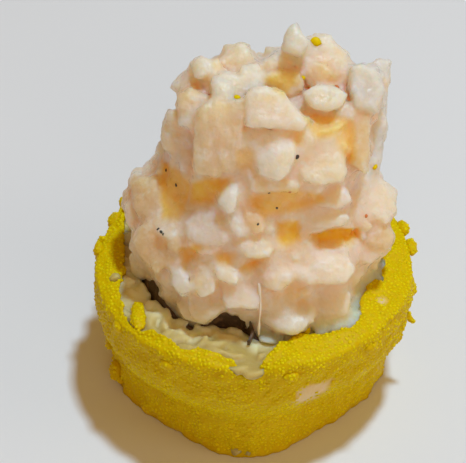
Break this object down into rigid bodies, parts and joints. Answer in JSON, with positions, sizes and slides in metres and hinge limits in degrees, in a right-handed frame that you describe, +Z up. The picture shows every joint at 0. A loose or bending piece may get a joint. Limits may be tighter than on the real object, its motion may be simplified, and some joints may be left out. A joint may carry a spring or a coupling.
{
  "type": "uramaki roll",
  "caption": "Upright cut uramaki roll: a yellow roe coat round rice, a seaweed ring and filling, with a tall heap of chopped seafood in creamy sauce on the cut face.",
  "frame": {"origin": "middle of the flat cut end that the roll stands on", "axes": "+Z up through the roll, -Y towards the shown side, +X to the right of that view"},
  "size_m": [0.0484, 0.0466, 0.0614],
  "materials": {
    "roe": "fine moist yellow fish roe",
    "rice": "sticky cooked rice",
    "nori": "damp dark seaweed sheet",
    "seafood": "chopped seafood in creamy sauce"
  },
  "bodies": {
    "root": {"roe_coat": "roe", "rice": "rice", "nori": "nori", "topping": "seafood"}
  },
  "joints": []
}
